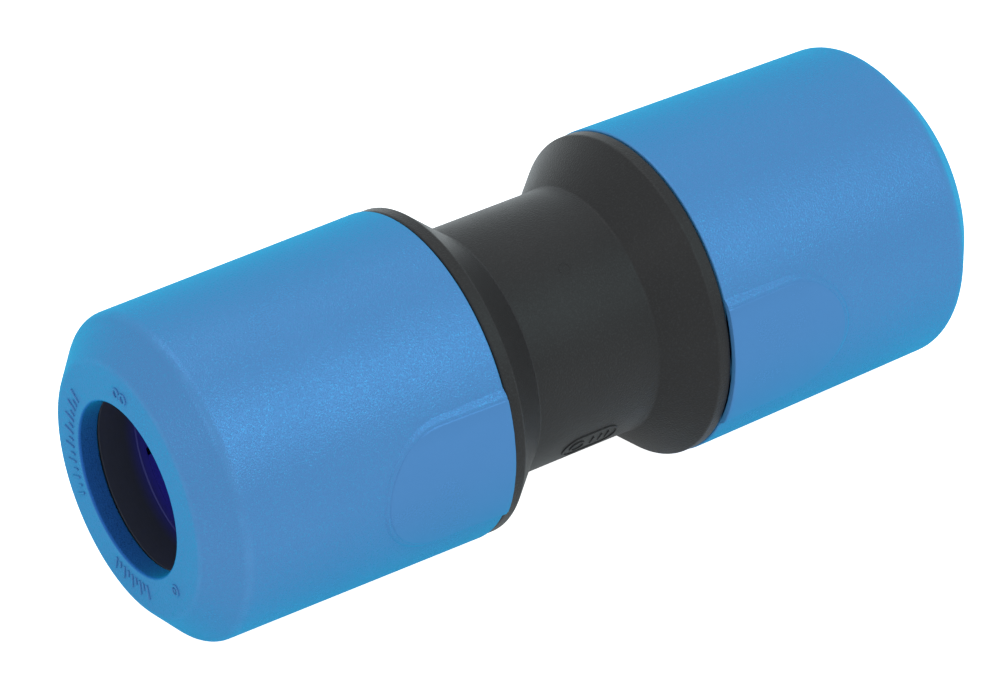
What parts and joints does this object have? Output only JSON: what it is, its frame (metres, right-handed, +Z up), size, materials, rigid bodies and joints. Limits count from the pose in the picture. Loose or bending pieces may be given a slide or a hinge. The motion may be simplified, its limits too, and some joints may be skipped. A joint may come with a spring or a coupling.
{
  "type": "push to connect fitting",
  "caption": "Straight push-fit coupler for plastic water pipe: black body, blue bayonet end caps with raised pads, toothed collets, spacer rings and O-rings inside.",
  "frame": {"origin": "the middle of the coupler, on its axis, halfway between the two end faces", "axes": "+X runs along the pipe towards the right-hand end, +Z is up, and the thumb pads face -Y and +Y"},
  "size_m": [0.1322, 0.0504, 0.0492],
  "materials": {
    "blue_cap": "satin, spark-eroded grain",
    "black_body": "satin, fine grain",
    "indigo_collet": "smooth moulded",
    "tooth_steel": "pressed stainless strip",
    "seal_rubber": "lubricated rubber",
    "spacer_plastic": "natural moulded"
  },
  "bodies": {
    "coupler_body": {"coupler_body": "black_body", "right_o_ring": "seal_rubber", "right_spacer_ring": "spacer_plastic", "left_o_ring": "seal_rubber", "left_spacer_ring": "spacer_plastic"},
    "right_cap": {"right_end_cap": "blue_cap"},
    "right_collet": {"right_collet": "indigo_collet", "right_collet_tooth_1": "tooth_steel", "right_collet_tooth_2": "tooth_steel", "right_collet_tooth_3": "tooth_steel", "right_collet_tooth_4": "tooth_steel", "right_collet_tooth_5": "tooth_steel", "right_collet_tooth_6": "tooth_steel", "right_collet_tooth_7": "tooth_steel", "right_collet_tooth_8": "tooth_steel"},
    "left_cap": {"left_end_cap": "blue_cap"},
    "left_collet": {"left_collet": "indigo_collet", "left_collet_tooth_1": "tooth_steel", "left_collet_tooth_2": "tooth_steel", "left_collet_tooth_3": "tooth_steel", "left_collet_tooth_4": "tooth_steel", "left_collet_tooth_5": "tooth_steel", "left_collet_tooth_6": "tooth_steel", "left_collet_tooth_7": "tooth_steel", "left_collet_tooth_8": "tooth_steel"}
  },
  "joints": [
    {"name": "right_cap_turn", "type": "hinge", "parent": "coupler_body", "child": "right_cap", "pos_m": [0.0425, 0, 0], "axis": [1, 0, 0], "range_deg": [0, 28]},
    {"name": "right_collet_release", "type": "slide", "parent": "coupler_body", "child": "right_collet", "axis": [-1, 0, 0], "range_m": [0, 0.003]},
    {"name": "left_cap_turn", "type": "hinge", "parent": "coupler_body", "child": "left_cap", "pos_m": [-0.0425, 0, 0], "axis": [-1, 0, 0], "range_deg": [0, 28]},
    {"name": "left_collet_release", "type": "slide", "parent": "coupler_body", "child": "left_collet", "axis": [1, 0, 0], "range_m": [0, 0.003]}
  ]
}
